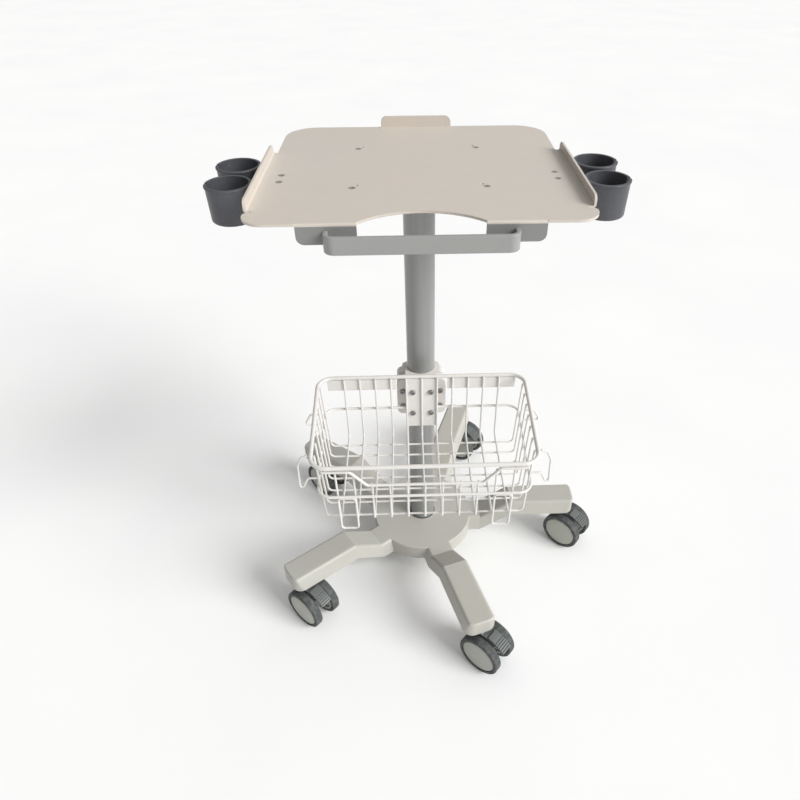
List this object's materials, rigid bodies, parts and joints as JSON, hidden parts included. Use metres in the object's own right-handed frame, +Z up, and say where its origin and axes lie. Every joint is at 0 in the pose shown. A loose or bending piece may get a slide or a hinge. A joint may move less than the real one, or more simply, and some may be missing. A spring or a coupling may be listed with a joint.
{
  "type": "equipment cart",
  "caption": "Rolling equipment cart: star base on braked twin-wheel casters, round column, bent sheet tray with handle and probe cups, wire basket clamped to the column.",
  "frame": {"origin": "on the floor, under the middle of the cart's bounding box; the column's axis stands at x -0.0316, y 0.0158", "axes": "+Z up along the column, -Y towards the front with the handle and basket, +X to the right seen from the front"},
  "size_m": [0.604, 0.6028, 0.76],
  "materials": {
    "cast_grey": "satin",
    "column_metal": "satin",
    "bracket_grey": "satin",
    "tray_beige": "matt",
    "screw_dark": "satin",
    "cup_charcoal": "matt",
    "clamp_white": "matt",
    "wire_white": "satin",
    "steel_plain": "satin",
    "caster_grey": "satin",
    "tread_grey": "matt",
    "wheel_cover": "matt"
  },
  "bodies": {
    "base": {"base_star": "cast_grey", "column": "column_metal", "head_plate": "bracket_grey", "tray_plate": "tray_beige", "tray_screws": "screw_dark", "handle_bar": "bracket_grey", "cup_brackets": "bracket_grey", "cup_left_front": "cup_charcoal", "cup_left_rear": "cup_charcoal", "cup_right_front": "cup_charcoal", "cup_right_rear": "cup_charcoal", "clamp_front": "clamp_white", "clamp_rear": "clamp_white", "clamp_screws": "screw_dark", "basket_plate": "wire_white", "plate_screws": "screw_dark", "basket_rim": "wire_white", "basket_ring": "wire_white", "basket_rear": "wire_white", "basket_front": "wire_white", "basket_dip_wire": "wire_white", "basket_floor": "wire_white", "basket_left": "wire_white", "basket_right": "wire_white", "caster_stems": "steel_plain"},
    "caster_1": {"caster_1_housing": "caster_grey", "caster_1_axle": "steel_plain"},
    "wheel_1_a": {"caster_1_disc_a": "wheel_cover", "caster_1_tyre_a": "tread_grey"},
    "wheel_1_b": {"caster_1_disc_b": "wheel_cover", "caster_1_tyre_b": "tread_grey"},
    "pedal_1": {"caster_1_pedal": "caster_grey"},
    "caster_2": {"caster_2_housing": "caster_grey", "caster_2_axle": "steel_plain"},
    "wheel_2_a": {"caster_2_disc_a": "wheel_cover", "caster_2_tyre_a": "tread_grey"},
    "wheel_2_b": {"caster_2_disc_b": "wheel_cover", "caster_2_tyre_b": "tread_grey"},
    "pedal_2": {"caster_2_pedal": "caster_grey"},
    "caster_3": {"caster_3_housing": "caster_grey", "caster_3_axle": "steel_plain"},
    "wheel_3_a": {"caster_3_disc_a": "wheel_cover", "caster_3_tyre_a": "tread_grey"},
    "wheel_3_b": {"caster_3_disc_b": "wheel_cover", "caster_3_tyre_b": "tread_grey"},
    "pedal_3": {"caster_3_pedal": "caster_grey"},
    "caster_4": {"caster_4_housing": "caster_grey", "caster_4_axle": "steel_plain"},
    "wheel_4_a": {"caster_4_disc_a": "wheel_cover", "caster_4_tyre_a": "tread_grey"},
    "wheel_4_b": {"caster_4_disc_b": "wheel_cover", "caster_4_tyre_b": "tread_grey"},
    "pedal_4": {"caster_4_pedal": "caster_grey"},
    "caster_5": {"caster_5_housing": "caster_grey", "caster_5_axle": "steel_plain"},
    "wheel_5_a": {"caster_5_disc_a": "wheel_cover", "caster_5_tyre_a": "tread_grey"},
    "wheel_5_b": {"caster_5_disc_b": "wheel_cover", "caster_5_tyre_b": "tread_grey"},
    "pedal_5": {"caster_5_pedal": "caster_grey"}
  },
  "joints": [
    {"name": "caster_1_swivel", "type": "hinge", "parent": "base", "child": "caster_1", "pos_m": [0.2384, 0.0158, 0.078], "axis": [0, 0, 1], "continuous": true},
    {"name": "wheel_1_a_roll", "type": "hinge", "parent": "caster_1", "child": "wheel_1_a", "pos_m": [0.25649, 0.00002, 0.0375], "axis": [0.6574, 0.7536, 0], "continuous": true},
    {"name": "wheel_1_b_roll", "type": "hinge", "parent": "caster_1", "child": "wheel_1_b", "pos_m": [0.25649, 0.00002, 0.0375], "axis": [0.6574, 0.7536, 0], "continuous": true},
    {"name": "brake_1_pedal", "type": "hinge", "parent": "caster_1", "child": "pedal_1", "pos_m": [0.26205, -0.00483, 0.07222], "axis": [0.6574, 0.7536, 0], "range_deg": [0, 9]},
    {"name": "caster_2_swivel", "type": "hinge", "parent": "base", "child": "caster_2", "pos_m": [0.05183, 0.27259, 0.078], "axis": [0, 0, 1], "continuous": true},
    {"name": "wheel_2_a_roll", "type": "hinge", "parent": "caster_2", "child": "wheel_2_a", "pos_m": [0.06992, 0.25681, 0.0375], "axis": [0.6574, 0.7536, 0], "continuous": true},
    {"name": "wheel_2_b_roll", "type": "hinge", "parent": "caster_2", "child": "wheel_2_b", "pos_m": [0.06992, 0.25681, 0.0375], "axis": [0.6574, 0.7536, 0], "continuous": true},
    {"name": "brake_2_pedal", "type": "hinge", "parent": "caster_2", "child": "pedal_2", "pos_m": [0.07548, 0.25196, 0.07222], "axis": [0.6574, 0.7536, 0], "range_deg": [0, 9]},
    {"name": "caster_3_swivel", "type": "hinge", "parent": "base", "child": "caster_3", "pos_m": [-0.25004, 0.1745, 0.078], "axis": [0, 0, 1], "continuous": true},
    {"name": "wheel_3_a_roll", "type": "hinge", "parent": "caster_3", "child": "wheel_3_a", "pos_m": [-0.23195, 0.15873, 0.0375], "axis": [0.6574, 0.7536, 0], "continuous": true},
    {"name": "wheel_3_b_roll", "type": "hinge", "parent": "caster_3", "child": "wheel_3_b", "pos_m": [-0.23195, 0.15873, 0.0375], "axis": [0.6574, 0.7536, 0], "continuous": true},
    {"name": "brake_3_pedal", "type": "hinge", "parent": "caster_3", "child": "pedal_3", "pos_m": [-0.22639, 0.15387, 0.07222], "axis": [0.6574, 0.7536, 0], "range_deg": [0, 9]},
    {"name": "caster_4_swivel", "type": "hinge", "parent": "base", "child": "caster_4", "pos_m": [-0.25004, -0.1429, 0.078], "axis": [0, 0, 1], "continuous": true},
    {"name": "wheel_4_a_roll", "type": "hinge", "parent": "caster_4", "child": "wheel_4_a", "pos_m": [-0.23195, -0.15868, 0.0375], "axis": [0.6574, 0.7536, 0], "continuous": true},
    {"name": "wheel_4_b_roll", "type": "hinge", "parent": "caster_4", "child": "wheel_4_b", "pos_m": [-0.23195, -0.15868, 0.0375], "axis": [0.6574, 0.7536, 0], "continuous": true},
    {"name": "brake_4_pedal", "type": "hinge", "parent": "caster_4", "child": "pedal_4", "pos_m": [-0.22639, -0.16353, 0.07222], "axis": [0.6574, 0.7536, 0], "range_deg": [0, 9]},
    {"name": "caster_5_swivel", "type": "hinge", "parent": "base", "child": "caster_5", "pos_m": [0.05183, -0.24099, 0.078], "axis": [0, 0, 1], "continuous": true},
    {"name": "wheel_5_a_roll", "type": "hinge", "parent": "caster_5", "child": "wheel_5_a", "pos_m": [0.06992, -0.25676, 0.0375], "axis": [0.6574, 0.7536, 0], "continuous": true},
    {"name": "wheel_5_b_roll", "type": "hinge", "parent": "caster_5", "child": "wheel_5_b", "pos_m": [0.06992, -0.25676, 0.0375], "axis": [0.6574, 0.7536, 0], "continuous": true},
    {"name": "brake_5_pedal", "type": "hinge", "parent": "caster_5", "child": "pedal_5", "pos_m": [0.07548, -0.26161, 0.07222], "axis": [0.6574, 0.7536, 0], "range_deg": [0, 9]}
  ]
}
